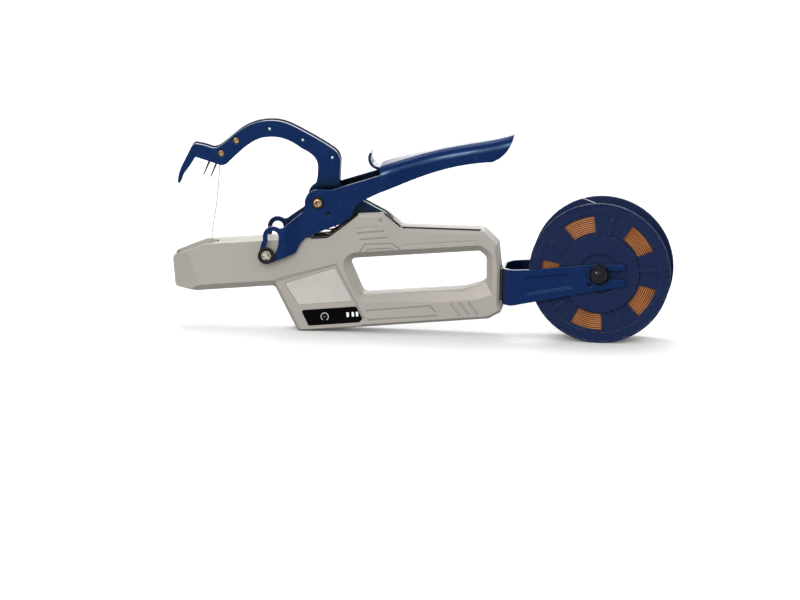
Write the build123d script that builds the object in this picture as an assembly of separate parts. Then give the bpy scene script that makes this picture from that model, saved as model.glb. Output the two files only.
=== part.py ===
# Electric vine tying tool. A grey clamshell body carries a hook that a hand lever closes on the nose,
# a geared motor that twists the tie, and a wire reel in a bracket behind the handle.
# Millimetres. X runs along the tool from the nose to the reel, Y away from the panel side, Z up.
# The origin lies under the middle of the tool, on the surface where the reel and the body's corner stand.
# Places in side view are (x, z) pairs, and corners of an outline are (x, z, radius).

import math
import os

from build123d import *

# Body shells
body_width = 29.0
wall = 2.8
outer_chamfer = 2.5
parting_chamfer = 0.6
handle_chamfer = 6.0
handle_wall = 6.0
rear_x = 70.6
body_corners = [
    (-225.0, 65.0, 4.0),
    (-222.3, 36.8, 4.0),
    (-203.0, 33.5, 8.0),
    (-132.5, 40.6, 6.0),
    (-110.8, -0.3, 5.0),
    (61.0, 17.4, 4.0),
    (73.5, 24.5, 3.0),
    (rear_x, 30.0, 8.0),
    (rear_x, 63.0, 8.0),
    (68.0, 85.0, 5.0),
    (54.5, 97.3, 5.0),
    (-19.2, 97.3, 4.0),
    (-36.6, 111.1, 3.0),
    (-58.3, 109.4, 4.0),
    (-85.0, 87.5, 8.0),
    (-196.5, 76.7, 6.0),
]
handle_corners = [
    (-67.5, 67.4, 6.0),
    (-53.0, 34.6, 6.0),
    (38.0, 43.2, 30.0),
    (58.3, 49.4, 8.0),
    (58.0, 73.6, 5.0),
    (51.8, 78.7, 5.0),
]

# Wide bevel along the lower edge of the handle opening: its foot on the side face and its top at the opening
sill_foot = [(-64.0, 46.0), (-56.5, 31.0), (16.2, 31.4), (50.4, 35.1), (64.0, 40.0), (64.0, 60.0)]
sill_top = [(-57.6, 46.0), (-53.6, 35.4), (16.2, 41.6), (50.0, 47.2), (57.9, 50.2), (57.8, 60.0)]
sill_back = [(-56.0, 27.0), (16.0, 28.0), (52.0, 31.5), (66.0, 37.0), (66.0, 52.0), (-56.0, 46.0)]
sill_back_depth = 3.0

# Open channel along the top edge
channel_span = (-34.0, 52.0)
channel_near = -11.5
channel_far = -3.5
channel_depth = 3.0
channel_floor = 2.2

# Label block: the lower face at the front of the handle, its rim on the side face and its floor
block_depth = 1.2
block_rim = [
    (-134.0, 46.0), (-129.4, 48.6), (-76.8, 63.6), (-59.6, 31.0),
    (-49.9, 13.0), (-53.0, 7.0), (-53.0, -10.0), (-134.0, -10.0),
]
block_floor = [
    (-134.0, 42.5), (-129.4, 44.9), (-78.2, 61.2), (-61.4, 31.6),
    (-51.6, 13.2), (-54.5, 8.0), (-54.5, -10.0), (-134.0, -10.0),
]

# Nose: bevels along its lower edge and the slanted front, the part of its top edge that stays sharp,
# the leaning crease where its sides start to taper, the open trough and the notch where the wire leaves
nose_chamfer = (4.0, 5.5)
front_chamfer = (3.6, 4.2)
sharp_edge = [(-232.0, 58.0), (-200.0, 66.0), (-100.0, 76.0), (-100.0, 130.0), (-232.0, 130.0)]
nose_crease_foot = -183.9
nose_crease_lean = -0.404
nose_taper_slope = 0.22
nose_taper_run = 45.0
trough_left = -222.0
trough_tip_half = 9.0
trough_wide = (-206.0, -192.5)
trough_half = 11.6
trough_right = -185.9
notch_half = 3.0
trough_floor = 60.5
floor_thickness = 2.0
nose_solid_end = -181.5

# Hook: two plates on a pivot pin between the shells
hook_pivot = (-37.6, 104.6)
hook_close_angle = 21.5
hook_plate = 3.5
hook_gap = 7.0
hook_tail_radius = 6.5
hook_pin_radius = 2.5
hook_pin_cover = 1.8
pin_mark_radius = 1.5
pin_mark_depth = 0.8
hook_bush_radius = 4.0
hook_slot_clearance = 1.2
hook_slot_left = -99.0
hook_slot_right = -27.5
hook_slot_floor = 84.0
bolt_places = [(-183.1, 159.5), (-169.8, 171.5)]
bolt_radius = 1.5
bolt_head_radius = 2.5
bolt_recess_radius = 3.4
bolt_sink = 1.2
bolt_proud = 0.2
rivet_places = [(-139.7, 183.2), (-109.7, 174.2), (-82.8, 159.0)]
rivet_radius = 1.2
rivet_head_height = 0.5
spacer_wall = 1.6
tine_tips = [(-199.3, 137.7), (-193.0, 136.0)]
tine_slope = (4.5, 11.5)
tine_radius = 1.2
tine_tip_radius = 0.5
tine_length = 20.5

# Lever: pressed sheet with two side plates, pinned to the hook and guided on the body
lever_pivot = (-94.0, 119.4)
lever_ratio = 1.38
lever_sheet = 2.5
fork_half = 23.0
arm_half = 17.5
grip_half = 12.0
fork_bend = (-122.0, -112.0)
grip_bend = (-27.0, 5.0)
lever_hump_radius = 12.0
grip_fold_radius = 9.0
grip_end_radius = 7.0
grip_tip = (80.8, 185.3)
grip_tops = [(-38.6, 153.6), (-27.0, 157.6), (5.0, 167.1), (31.2, 173.6), (62.7, 180.1), (84.0, 186.6)]
grip_under = [(62.0, 161.0), (34.0, 156.9), (-2.8, 145.3), (-38.6, 130.4)]
thumb_stop_half = 9.0
lever_bolt_radius = 3.0
lever_washer_radius = 5.4
lever_washer = 1.0
lever_head_radius = 3.8
lever_head_height = 2.0
sleeve_radius = 5.0
dimple_place = (-124.0, 77.2)
dimple_radius = 1.3
dimple_height = 0.5

# Guide pin of the lever's slot, on the body
guide_place = (-139.2, 70.6)
guide_pin_radius = 3.0
guide_sleeve_radius = 4.7
slot_wall = 2.2
slot_wide_wall = 4.2
slot_wide_span = (9.0, 24.0)
guide_washer_radius = 7.5
guide_washer = 1.2
clip_radius = 4.3
clip_thickness = 1.0

# Return spring in its pocket under the hook
spring_x = -83.2
spring_radius = 4.2
spring_wire = 1.4
spring_turns = 5
coil_sides = 8
spring_floor = 80.0
spring_top = 107.5
spring_seat = 0.3
pocket_clearance = 0.7
pocket_wall = 1.9

# Drive: geared motor, shaft, bevel pair and twister
drive_z = 53.0
motor_radius = 11.0
gearbox_left = -146.0
gearbox_length = 26.0
motor_length = 40.0
shaft_radius = 2.0
shaft_bush_x = -168.0
shaft_bush_length = 8.0
shaft_bush_radius = 4.0
spindle_x = -191.8
spindle_radius = 2.5
spindle_bush_radius = 4.0
spindle_foot = 36.8
foot_bush_length = 4.0
upper_bush_length = 3.0
twister_head_radius = 5.0
twister_head_top = 71.0
twister_slot = 2.4
gear_radius = 8.0
pinion_radius = 4.5
gear_play = 0.35
gear_boss = 6.0
gear_room = 0.8

# Wire path from the reel through the body to the nose
tube_radius = 1.5
tube_bore = 0.9
wire_radius = 0.4
tube_bend = 6.0
wire_inlet_z = 50.0
tube_route = [(63.4, 50.0), (63.4, 79.3), (55.6, 87.1), (-18.0, 87.0), (-48.0, 76.0), (-145.0, 75.8)]
tube_mouth = (-184.2, 73.2)
blade_thickness = 1.2
blade_half = 5.0
blade_low = 64.0

# Battery, board, panel and socket
cell_radius = 9.2
cell_length = 65.2
cell_gap = 1.8
cell_first = (12.0, 24.4)
cell_tilt = 6.0
cell_y = 2.0
board_thickness = 1.6
board_corners = [(-103.0, 6.8), (-57.5, 11.6), (-58.6, 23.4), (-105.0, 18.5)]
board_gap = 2.4
board_post_radius = 2.0
switch_height = 0.8
lead_radius = 0.7
lead_end_z = 19.5
contact_radius = 5.0
panel_corners = [
    (-108.0, 19.1, 1.5),
    (-101.1, 5.2, 1.5),
    (-55.5, 10.0, 1.5),
    (-52.6, 13.0, 1.5),
    (-58.4, 24.3, 1.5),
]
panel_depth = 0.8
panel_proud = 0.4
button_place = (-86.6, 14.2)
button_radius = 4.2
button_travel = 0.8
button_proud = 1.0
button_flange = 1.2
light_places = [(-65.9, 16.6), (-61.3, 17.1), (-57.5, 17.5)]
light_width = 2.1
light_height = 4.3
label_corners = [(-123.6, 43.2, 2.0), (-110.3, 24.1, 2.0), (-61.6, 29.1, 2.0), (-78.2, 59.2, 2.0)]
label_thickness = 0.4
label_recess = 0.5
label_border = 0.2
socket_place = (-122.2, 21.2)
socket_radius = 5.5
socket_flange = 7.0
socket_length = 14.0
socket_bore = 2.85
socket_bore_depth = 9.5

# Ribs inside the shells
rib_width = 3.0
cell_rib_places = [-74.5, -31.5, -10.5, 35.5]
motor_rib_x = -90.0
motor_rib_low = 36.0
neck_rib_x = -38.5
neck_rib_low = 70.0
handle_rib_x = 21.5
handle_rib_low = 80.0

# Shallow lines on the outer faces: two grip grooves, the stepped handle frame and three slots
groove_width = 1.2
groove_depth = 0.6
groove_lines = [
    [(-58.3, 91.9), (-34.7, 94.7)],
    [(-55.3, 86.1), (-31.5, 88.9)],
    [(-55.6, 75.0), (-51.8, 81.6), (-26.8, 83.6), (-18.4, 77.6)],
    [(-50.0, 75.4), (-48.2, 77.2), (-28.4, 79.0), (-24.0, 76.6)],
    [(-49.0, 21.0), (8.5, 27.4), (13.1, 22.4)],
    [(-47.1, 12.6), (14.1, 18.6)],
]
face_slots = [
    [(27.5, 29.8), (35.0, 20.3)],
    [(35.8, 30.4), (42.9, 21.4)],
    [(44.0, 31.0), (50.8, 22.0)],
]
face_slot_width = 2.0
crease_lines = [
    [(-59.0, 96.4), (-42.0, 98.2)],
    [(-16.0, 82.4), (48.4, 88.6), (59.4, 76.4)],
]
crease_depth = 0.25

# Screws
screw_places = [(-214.0, 46.0), (-156.0, 46.4), (-104.0, 34.0), (-71.0, 67.5), (-21.5, 90.6), (60.0, 29.5)]
block_screw_places = [(-104.0, 34.0)]
screw_radius = 1.5
screw_head_radius = 2.8
screw_head_height = 2.0
screw_sink = 0.4
boss_radius = 3.6

# Reel bracket behind the body
pad_thickness = 2.0
pad_half = 9.0
bracket_sheet = 2.5
bracket_half = 24.0
bracket_bend = 15.0
bracket_low = 32.0
bracket_high = 64.3
bracket_screw_places = [(-5.5, 39.5), (5.5, 39.5), (-5.5, 57.5), (5.5, 57.5)]
fork_end = 184.3
prong_height = 5.6
panel_press = [(93.0, 58.8), (134.6, 64.0), (136.6, 50.6), (95.0, 42.4)]
press_depth = 1.2
press_slope = 1.5
bracket_hole = (152.5, 54.0)
bracket_hole_radius = 2.2

# Reel on its axle
reel_axis = (161.0, 63.8)
reel_radius = 63.8
reel_inside = 31.0
flange_thickness = 3.0
hub_radius = 35.5
hub_height = 2.0
pocket_radius = 18.5
window_count = 5
window_inner = 37.0
window_outer = 52.3
window_span = 32.5
window_start = 40.7
spoke_rib_half = 1.5
band_radius = 54.4
band_depth = 0.9
rim_bead = 1.6
rim_bead_height = 0.6
core_radius = 30.0
core_wall = 3.0
axle_radius = 4.0
axle_thread_radius = 3.0
axle_nut_radius = 9.4
axle_nut_height = 7.0
axle_end = 0.4
nut_crown = 0.8
axle_washer_radius = 7.0
reel_bush_radius = 7.0
reel_bush_length = 10.0
wound_radius = 51.6
winding_turns = 20
winding_wire = 1.0
winding_pitch = 1.45

# Running clearances
running_gap = 0.1
moving_gap = 0.3

body_half = body_width / 2
inner_half = body_half - wall
block_half = body_half - block_depth
hook_half = hook_gap / 2 + hook_plate


def slab(outline, near, far):
    return extrude(Plane.XZ.offset(-far) * outline, amount=far - near)


def disc(place, radius, near, far):
    return slab(Pos(*place) * Circle(radius), near, far)


def ring(place, outer, inner, near, far):
    return slab(Pos(*place) * (Circle(outer) - Circle(inner)), near, far)


def post(x, y, radius, low, high):
    return Pos(x, y, low) * Cylinder(radius, high - low, align=(Align.CENTER, Align.CENTER, Align.MIN))


def bar(y, z, radius, left, right):
    return extrude(Plane.YZ.offset(left) * (Pos(y, z) * Circle(radius)), amount=right - left)


def block(left, right, near, far, low, high):
    middle = ((left + right) / 2, (near + far) / 2, (low + high) / 2)
    return Pos(*middle) * Box(right - left, far - near, high - low)


def rounded(corners):
    points = [(x, z) for x, z, radius in corners]
    radii = [radius for x, z, radius in corners]
    return make_face(FilletPolyline(*points, radius=radii, close=True))


def polygon(points):
    return make_face(Polyline(*points, close=True))


def mirrored(part):
    return mirror(part, about=Plane.XZ)


def group(solids):
    return Compound(children=list(solids))


def turned(place, centre, degrees):
    angle = math.radians(degrees)
    x = place[0] - centre[0]
    z = place[1] - centre[1]
    turned_x = centre[0] + x * math.cos(angle) - z * math.sin(angle)
    turned_z = centre[1] + x * math.sin(angle) + z * math.cos(angle)
    return turned_x, turned_z


def tube_along(points, radius, bend):
    path = FilletPolyline(*points, radius=bend)
    profile = Plane(origin=path @ 0, z_dir=path % 0) * Circle(radius)
    tube = sweep(profile, path=path)
    share = tube.volume / (math.pi * radius**2 * path.length)
    print("tube volume over section times length", round(share, 4))
    return tube


# Two arcs that join two points with given directions.
def biarc(start, start_way, end, end_way):
    chord = end - start
    spread = 2 * (1 - start_way.dot(end_way))
    along = chord.dot(start_way + end_way)
    reach = (math.sqrt(along**2 + spread * chord.dot(chord)) - along) / spread
    first = start + start_way * reach
    last = end - end_way * reach
    joint = (first + last) / 2
    return [TangentArc(start, joint, tangent=start_way), TangentArc(joint, end, tangent=last - first)]


# A coil of half-turn biarcs about Z, with straight ends one wire thick.
def coil(radius, pitch, turns, wire):
    def place(half):
        angle = half * math.pi
        return Vector(radius * math.cos(angle), radius * math.sin(angle), pitch * half / 2)

    def way(half):
        angle = half * math.pi
        run = Vector(-radius * math.sin(angle), radius * math.cos(angle), pitch / (2 * math.pi))
        return run.normalized()

    halves = turns * 2
    edges = [Line(place(0) - way(0) * wire, place(0))]
    for half in range(halves):
        edges += biarc(place(half), way(half), place(half + 1), way(half + 1))
    edges.append(Line(place(halves), place(halves) + way(halves) * wire))
    path = Wire(edges)
    profile = Plane(origin=path @ 0, z_dir=path % 0) * RegularPolygon(wire / 2, coil_sides)
    return sweep(profile, path=path)


# The least gap between a point of the coil and points half a turn to one and a half turns further on.
def coil_gap(radius, pitch, wire):
    steps = 720
    least = math.inf
    for step in range(steps + 1):
        turn = 0.5 + step / steps
        angle = turn * 2 * math.pi
        place = (radius * math.cos(angle), radius * math.sin(angle), pitch * turn)
        least = min(least, math.dist((radius, 0.0, 0.0), place))
    return least - wire


# Body shells
def body_outline():
    return rounded(body_corners)


def handle_outline():
    return rounded(handle_corners)


# Where the side face of the nose starts to taper, at a height.
def nose_crease(z):
    return nose_crease_foot + nose_crease_lean * z


def nose_taper(inset):
    tip = nose_crease_foot - nose_taper_run
    near = -body_half + inset
    wedge = polygon(
        [
            (nose_crease_foot, near),
            (tip, near + nose_taper_slope * nose_taper_run),
            (tip, -body_half - 1.0),
            (nose_crease_foot, -body_half - 1.0),
        ]
    )
    return extrude(wedge, amount=150.0, dir=(nose_crease_lean, 0, 1))


# A wedge that bevels a straight lower edge of the body.
def edge_bevel(first, second, bevel_size, before, after):
    start = Vector(first[0], 0, first[1])
    end = Vector(second[0], 0, second[1])
    run = (end - start).normalized()
    depth, height = bevel_size
    corner = polygon([(-depth, 2 * height), (2 * depth, -height), (-depth, -height)])
    frame = Plane(origin=start - run * before + Vector(0, -body_half, 0), x_dir=(0, 1, 0), z_dir=run)
    return extrude(frame * corner, amount=(end - start).length + before + after)


def lower_bevels():
    nose = edge_bevel(body_corners[2], body_corners[3], nose_chamfer, 30.0, 1.0)
    return [nose, edge_bevel(body_corners[3], body_corners[4], front_chamfer, 1.0, 6.0)]


def label_pocket():
    rim = Plane.XZ.offset(body_half) * polygon(block_rim)
    floor = Plane.XZ.offset(block_half) * polygon(block_floor)
    return loft([rim, floor], ruled=True)


def handle_sill():
    foot = Plane.XZ.offset(body_half) * polygon(sill_foot)
    top = Plane.XZ.offset(body_half - handle_chamfer) * polygon(sill_top)
    return loft([foot, top], ruled=True)


# A band that follows the top edge, between two depths below the surface.
def top_band(shallow, deep, near, far):
    edge = polygon([(x, z) for x, z, radius in body_corners])
    upper = offset(edge, -shallow, kind=Kind.INTERSECTION) if shallow else edge
    band = upper - offset(edge, -deep, kind=Kind.INTERSECTION)
    left, right = channel_span
    roof = hook_pivot[1] + 20.0
    low = hook_slot_floor + 5.0
    window = Pos((left + right) / 2, (low + roof) / 2) * Rectangle(right - left, roof - low)
    return slab(band & window, near, far)


def shell_blank():
    blank = slab(body_outline() - handle_outline(), -body_half, 0)
    face = blank.faces().sort_by(Axis.Y)[-1]
    blank = chamfer(face.edges(), parting_chamfer)
    face = blank.faces().sort_by(Axis.Y)[0]
    blank = chamfer(face.outer_wire().edges(), outer_chamfer)
    face = blank.faces().sort_by(Axis.Y)[0]
    blank = chamfer(face.inner_wires()[0].edges(), handle_chamfer)
    blank += slab(body_outline() & polygon(sharp_edge), -body_half, -parting_chamfer)
    return blank - lower_bevels() - label_pocket() - handle_sill() - nose_taper(0.0)


def shell_hollow():
    space = offset(body_outline(), -wall) - offset(handle_outline(), handle_wall)
    solid_nose = Pos(nose_solid_end - 30.0, trough_floor - floor_thickness + 30.0) * Rectangle(60.0, 60.0)
    return slab(space - solid_nose, -inner_half, 0) - nose_taper(wall)


def cell_frames():
    slope = math.radians(cell_tilt)
    step = cell_length + cell_gap
    frames = []
    for index in range(2):
        x = cell_first[0] - index * step * math.cos(slope)
        z = cell_first[1] - index * step * math.sin(slope)
        axis = (math.cos(slope), 0, math.sin(slope))
        frames.append(Plane(origin=(x, cell_y, z), x_dir=(0, 1, 0), z_dir=axis))
    return frames


def cells(radius, length):
    return [frame * Cylinder(radius, length) for frame in cell_frames()]


def socket_frame():
    lower = Vector(body_corners[4][0], body_corners[4][1])
    upper = Vector(body_corners[3][0], body_corners[3][1])
    run = (upper - lower).normalized()
    outward = Vector(-run.Y, 0, run.X)
    share = (Vector(*socket_place) - lower).dot(run)
    face = lower + run * share
    return Plane(origin=(face.X, 0, face.Y), x_dir=(0, 1, 0), z_dir=-outward)


def wire_route():
    inlet = (rear_x + pad_thickness + bracket_sheet, 0, wire_inlet_z)
    inner = [(x, 0, z) for x, z in tube_route]
    return [inlet] + inner + [(tube_mouth[0], 0, tube_mouth[1])]


def cell_height(x):
    return cell_first[1] + (x - cell_first[0]) * math.tan(math.radians(cell_tilt))


def rib_wall(x, low, high):
    return block(x - rib_width / 2, x + rib_width / 2, -body_half, 0, low, high)


# Walls inside each shell that hold the bush, the gearbox, the motor, the cells and the tube.
def shell_ribs():
    rear = rear_x
    bottom = body_corners[4][1] - 5.0
    drive_top = drive_z + motor_radius + wall
    bush_half = shaft_bush_length / 2 - 1.0
    foot_top = spindle_bush_spans()[0][1]
    pocket = spring_radius + spring_wire / 2 + pocket_clearance + pocket_wall
    ribs = [
        block(shaft_bush_x - bush_half, shaft_bush_x + bush_half, -body_half, 0, bottom, drive_top),
        block(gearbox_left + 4.0, gearbox_left + 8.0, -body_half, 0, bottom, drive_top),
        rib_wall(motor_rib_x, motor_rib_low, drive_top),
        rib_wall(neck_rib_x, neck_rib_low, hook_slot_floor),
        rib_wall(handle_rib_x, handle_rib_low, 130.0),
        block(spindle_x - 7.0, spindle_x + 7.0, -body_half, 0, bottom, foot_top),
        post(spindle_x, 0, spindle_bush_radius + 1.5, trough_floor - upper_bush_length, trough_floor),
        post(spring_x, 0, pocket, spring_floor - wall, 130.0),
        disc(guide_place, guide_pin_radius + 2.0, -body_half, 0),
        disc(hook_pivot, hook_tail_radius + 1.0, -body_half, -hook_half - hook_slot_clearance),
    ]
    for x in cell_rib_places:
        ribs.append(rib_wall(x, bottom, cell_height(x) + cell_radius + 7.0))
    ribs += [disc(place, boss_radius, -body_half, 0) for place in screw_places]
    ribs.append(slab(polygon(sill_back), -inner_half, -inner_half + sill_back_depth))
    for y, z in bracket_screw_places:
        ribs.append(bar(y, z, boss_radius - 0.4, rear - 11, rear))
    return ribs


def trough():
    outline = polygon(
        [
            (trough_left, -trough_tip_half),
            (trough_wide[0], -trough_half),
            (trough_wide[1], -trough_half),
            (trough_right, -notch_half),
            (trough_right, notch_half),
            (trough_wide[1], trough_half),
            (trough_wide[0], trough_half),
            (trough_left, trough_tip_half),
        ]
    )
    well = post(spindle_x, 0, twister_head_radius + 0.8, trough_floor, trough_floor + 50)
    return Pos(0, 0, trough_floor) * extrude(outline, amount=50.0) + well


def spindle_bush_spans():
    foot = (spindle_foot, spindle_foot + foot_bush_length)
    return [foot, (trough_floor - upper_bush_length, trough_floor)]


def shell_cutters():
    slot_half = hook_half + hook_slot_clearance
    gearbox_right = gearbox_left + gearbox_length
    pocket = spring_radius + spring_wire / 2 + pocket_clearance
    cutters = [
        trough(),
        block(hook_slot_left, hook_slot_right, -slot_half, slot_half, hook_slot_floor, 130),
        post(spring_x, 0, pocket, spring_floor, 130),
        disc(guide_place, guide_pin_radius, -body_half, body_half),
        disc(hook_pivot, hook_pin_radius, -hook_pin_half(), hook_pin_half()),
        disc(hook_pivot, pin_mark_radius, -body_half, -body_half + pin_mark_depth),
        disc(hook_pivot, pin_mark_radius, body_half - pin_mark_depth, body_half),
        bar(0, drive_z, shaft_bush_radius, shaft_bush_x - 10, shaft_bush_x + 10),
        bar(0, drive_z, motor_radius, gearbox_left, gearbox_right + motor_length),
        tube_along(wire_route(), tube_radius, tube_bend),
        bar(0, tube_mouth[1], wire_radius + 0.4, trough_right - 1, tube_mouth[0] + 1),
        block(trough_right, trough_right + blade_thickness, -blade_half, blade_half, blade_low, 100),
        socket_frame() * Cylinder(socket_radius, 60.0),
    ]
    cutters += [post(spindle_x, 0, spindle_bush_radius, low, high) for low, high in spindle_bush_spans()]
    gear_top = trough_floor - upper_bush_length
    cutters.append(post(spindle_x, 0, gear_radius + gear_room, gear_low(), gear_top))
    cutters += cells(cell_radius, cell_length + 2 * cell_gap)
    for y, z in bracket_screw_places:
        cutters.append(bar(y, z, screw_radius, rear_x - 9, rear_x + 1))
    return cutters


def face_grooves():
    grooves = sunk_lines(groove_lines, groove_width, groove_depth)
    grooves += sunk_lines(face_slots, face_slot_width, groove_depth)
    return grooves + sunk_lines(crease_lines, groove_width, crease_depth)


def sunk_lines(lines, width, depth):
    grooves = []
    for points in lines:
        for start, end in zip(points, points[1:]):
            groove = slot_location(start, end) * SlotCenterToCenter(math.dist(start, end), width)
            grooves.append(slab(groove, -body_half, -body_half + depth))
    return grooves


def slot_location(start, end):
    middle = ((start[0] + end[0]) / 2, (start[1] + end[1]) / 2)
    angle = math.degrees(math.atan2(end[1] - start[1], end[0] - start[0]))
    return Pos(*middle) * Rot(0, 0, angle)


def hook_pin_half():
    return body_half - hook_pin_cover


def screw_depth():
    return body_half - 4.0


def make_shells():
    blank = shell_blank() - face_grooves()
    hollow = shell_hollow()
    ribs = shell_ribs()
    near_hollow = hollow - board_room()
    far = mirrored(blank - hollow + [rib & hollow for rib in ribs])
    ribs.append(top_band(wall / 2, channel_depth + channel_floor, -body_half, channel_far + channel_floor))
    near = blank - hollow + [rib & near_hollow for rib in ribs]
    near -= top_band(0.0, channel_depth, channel_near, channel_far)
    cutters = shell_cutters()
    near = near - cutters
    far = far - cutters
    panel_back = -block_half + panel_depth
    label_back = -block_half + label_recess + label_thickness
    near = near - slab(rounded(panel_corners), -body_half, panel_back)
    near = near - disc(button_place, button_radius + moving_gap, -body_half, -inner_half)
    near = near - slab(offset(rounded(label_corners), label_border), -body_half, label_back)
    for place in screw_places:
        near = near - disc(place, screw_radius, -screw_depth(), 0)
        far = far - disc(place, screw_radius, 0, body_half)
        head_face = screw_face(place)
        far = far - disc(place, screw_head_radius, head_face - screw_head_height, body_half)
    for place in board_posts():
        near = near + disc(place, board_post_radius, -inner_half, -inner_half + board_gap)
    return near, far


def board_room():
    outline = offset(polygon(board_corners), moving_gap)
    return slab(outline, -inner_half, -inner_half + board_gap + board_thickness + moving_gap)


def board_posts():
    return [(-99.5, 9.6), (-99.8, 16.6), (-61.5, 14.0)]


def screw_face(place):
    if place in block_screw_places:
        return block_half - screw_sink
    tapered = nose_crease(place[1]) - place[0] + screw_head_radius
    return body_half - nose_taper_slope * max(0.0, tapered) - screw_sink


def make_screws():
    solids = []
    for place in screw_places:
        head_face = screw_face(place)
        head = disc(place, screw_head_radius, head_face - screw_head_height, head_face)
        solids.append(disc(place, screw_radius, -screw_depth(), head_face) + head)
    return group(solids)


# Panel, button, lights, label
def make_panel():
    panel = slab(rounded(panel_corners), -block_half - panel_proud, -block_half + panel_depth)
    panel -= disc(button_place, button_radius + moving_gap, -body_half - 1, 0)
    return panel - [light_window(place) for place in light_places]


def light_window(place):
    face = Rot(0, 0, cell_tilt) * RectangleRounded(light_width, light_height, 0.6)
    return slab(Pos(*place) * face, -block_half - panel_proud, -block_half + panel_depth)


def make_lights():
    return group(light_window(place) for place in light_places)


def make_button():
    switch = -inner_half + board_gap - switch_height
    back = switch - button_travel - running_gap
    cap = disc(button_place, button_radius, -block_half - button_proud, back)
    return cap + disc(button_place, button_radius + button_flange, -inner_half, back)


def make_label():
    front = -block_half + label_recess
    return slab(rounded(label_corners), front, front + label_thickness)


# Board with its parts, battery, leads and socket
def make_board():
    front = -inner_half + board_gap
    board = slab(polygon(board_corners), front, front + board_thickness)
    switch = disc(button_place, 2.0, front - switch_height, front)
    chip = slab(Pos(-72.0, 15.5) * Rectangle(9.0, 6.0), front - 1.2, front)
    return board + switch + chip


def make_cells():
    return group(cells(cell_radius, cell_length))


def make_socket():
    frame = socket_frame()
    barrel = frame * Cylinder(socket_radius, socket_length, align=(Align.CENTER, Align.CENTER, Align.MIN))
    bore = frame * Cylinder(socket_bore, socket_bore_depth, align=(Align.CENTER, Align.CENTER, Align.MIN))
    collar = frame * Cylinder(socket_flange, 1.5, align=(Align.CENTER, Align.CENTER, Align.MIN))
    return barrel + Pos(frame.z_dir * wall) * collar - bore


# Drive train
def make_motor():
    left = gearbox_left + gearbox_length
    can = bar(0, drive_z, motor_radius, left, left + motor_length)
    tail = bar(0, drive_z, 3.5, left + motor_length, left + motor_length + 2.5)
    return can + tail


def make_gearbox():
    body = bar(0, drive_z, motor_radius, gearbox_left, gearbox_left + gearbox_length)
    nose = bar(0, drive_z, 6.0, gearbox_left - 3, gearbox_left)
    return body + nose - bar(0, drive_z, shaft_radius + running_gap, gearbox_left - 4, gearbox_left + 10)


def pinion_face():
    return spindle_x + gear_radius + gear_play


def make_shaft():
    return bar(0, drive_z, shaft_radius, pinion_face() - 3.0, gearbox_left + 9.8)


def bevel(large, face, back, teeth):
    slope = (large - 0.6 * large) / face
    wheel = Cone(large, large - slope * face, face, align=(Align.CENTER, Align.CENTER, Align.MIN))
    wheel += Pos(0, 0, -back) * Cylinder(large, back, align=(Align.CENTER, Align.CENTER, Align.MIN))
    notch = Pos(large, 0, 0) * Box(large, 0.7, 4 * face)
    notch = Pos(large * 0.42, 0, 0) * notch
    for tooth in range(teeth):
        wheel -= Rot(0, 0, 360.0 * tooth / teeth) * notch
    return wheel


def make_pinion():
    face = pinion_radius * 0.7
    wheel = bevel(pinion_radius, face, 3.6, 12)
    wheel -= Cylinder(shaft_radius, 40.0)
    return Pos(pinion_face(), 0, drive_z) * Rot(0, -90, 0) * wheel


def gear_low():
    return drive_z - pinion_radius - gear_play - gear_boss - gear_room


def make_gear():
    face = pinion_radius * 0.4
    wheel = bevel(gear_radius, face, 2.5, 21)
    boss = Cylinder(5.0, gear_boss - 2.5, align=(Align.CENTER, Align.CENTER, Align.MIN))
    wheel += Pos(0, 0, -gear_boss) * boss
    wheel -= Cylinder(spindle_radius, 40.0)
    return Pos(spindle_x, 0, drive_z - pinion_radius - gear_play) * wheel


def make_spindle():
    low = spindle_bush_spans()[0][0] + 0.2
    spindle = post(spindle_x, 0, spindle_radius, low, twister_head_top)
    head = post(spindle_x, 0, twister_head_radius, trough_floor + 0.4, twister_head_top)
    half = twister_slot / 2
    slot = block(spindle_x - 10, spindle_x + 10, -half, half, twister_head_top - 6, twister_head_top + 1)
    return spindle + head - slot


def make_spindle_bushes():
    solids = []
    for low, high in spindle_bush_spans():
        hole = post(spindle_x, 0, spindle_radius + running_gap, low, high)
        solids.append(post(spindle_x, 0, spindle_bush_radius, low, high) - hole)
    return group(solids)


def make_shaft_bush():
    left = shaft_bush_x - shaft_bush_length / 2
    right = shaft_bush_x + shaft_bush_length / 2
    bush = bar(0, drive_z, shaft_bush_radius, left, right)
    return bush - bar(0, drive_z, shaft_radius + running_gap, left, right)


def make_blade():
    top = tube_mouth[1] + 2.6
    blade = block(trough_right, trough_right + blade_thickness, -blade_half, blade_half, blade_low, top)
    return blade - bar(0, tube_mouth[1], wire_radius + 0.2, trough_right - 1, trough_right + 3)


# Wire: guide tube, the wire in it, the strand to the hook
def make_tube():
    return tube_along(wire_route(), tube_radius, tube_bend) - tube_along(wire_route(), tube_bore, tube_bend)


def reel_leave():
    run_x = reel_axis[0] - wire_route()[0][0]
    run_z = reel_axis[1] - wire_inlet_z
    away = math.hypot(run_x, run_z)
    radius = wound_radius + winding_wire + 1.0
    angle = math.atan2(run_z, run_x) - math.asin(radius / away)
    reach = math.sqrt(away**2 - radius**2)
    return wire_route()[0][0] + reach * math.cos(angle), wire_inlet_z + reach * math.sin(angle)


def make_feed_wire():
    leave_x, leave_z = reel_leave()
    route = wire_route()
    start = (leave_x, 0, leave_z)
    inlet = (route[0][0] + 1.0, 0, wire_inlet_z)
    end = (trough_right - 1.5, 0, tube_mouth[1])
    return tube_along([start, inlet] + route[1:-1] + [end], wire_radius, tube_bend)


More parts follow.
